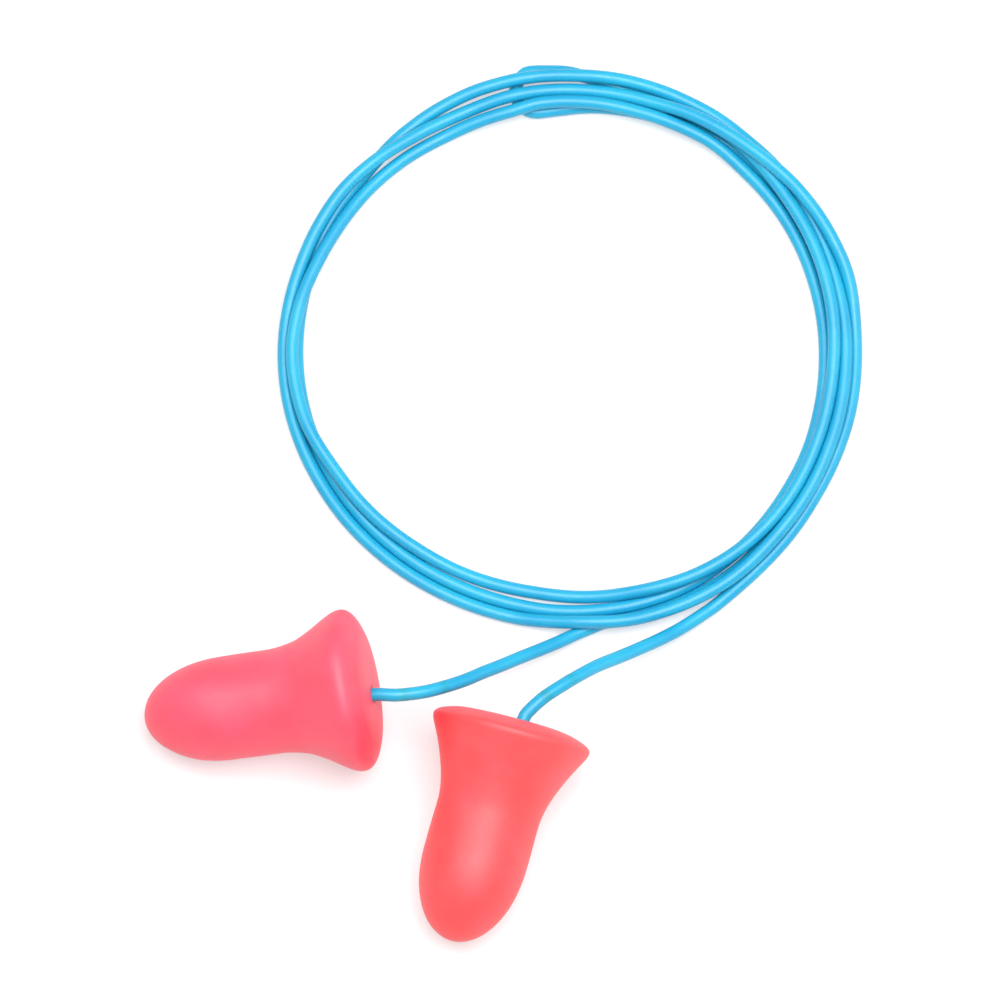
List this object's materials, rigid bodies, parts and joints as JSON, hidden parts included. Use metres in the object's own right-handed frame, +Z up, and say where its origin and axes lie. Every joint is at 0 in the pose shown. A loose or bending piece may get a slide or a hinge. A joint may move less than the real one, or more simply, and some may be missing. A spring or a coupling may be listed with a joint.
{
  "type": "corded foam ear plugs",
  "caption": "Pair of soft bell-shaped foam ear plugs joined by a thin smooth cord that lies wound in a loose round coil.",
  "frame": {"origin": "on the table, below the middle of the bounding box of the two plugs", "axes": "+Z up, +X to the right across both plugs, +Y from the plugs towards the coil of cord"},
  "size_m": [0.0767, 0.0975, 0.0171],
  "materials": {
    "foam": "soft closed-skin polyurethane foam, satin",
    "cord": "smooth glossy extruded cord",
    "glue": "clear-drying soft adhesive, semi-gloss"
  },
  "bodies": {
    "cord": {"cord_coil": "cord", "left_cord_tail": "cord", "right_cord_tail": "cord"},
    "left_link": {"left_cord_bend": "cord"},
    "left_plug": {"left_foam_plug": "foam", "left_glue": "glue", "left_cord_end": "cord"},
    "right_link": {"right_cord_bend": "cord"},
    "right_plug": {"right_foam_plug": "foam", "right_glue": "glue", "right_cord_end": "cord"}
  },
  "joints": [
    {"name": "left_plug_swing", "type": "hinge", "parent": "cord", "child": "left_link", "pos_m": [0.0063, 0.0089, 0.0086], "axis": [0, 0, 1], "range_deg": [-45, 20], "deforming": ["left_cord_bend"]},
    {"name": "left_plug_lift", "type": "hinge", "parent": "left_link", "child": "left_plug", "pos_m": [0.0027, 0.0084, 0.0091], "axis": [-0.1097, 0.994, 0], "range_deg": [0, 60], "deforming": ["left_cord_bend"]},
    {"name": "right_plug_swing", "type": "hinge", "parent": "cord", "child": "right_link", "pos_m": [0.0205, 0.0094, 0.0087], "axis": [0, 0, 1], "range_deg": [-5, 45], "deforming": ["right_cord_bend"]},
    {"name": "right_plug_lift", "type": "hinge", "parent": "right_link", "child": "right_plug", "pos_m": [0.0179, 0.0073, 0.0091], "axis": [-0.9641, 0.2656, 0], "range_deg": [0, 60], "deforming": ["right_cord_bend"]}
  ]
}
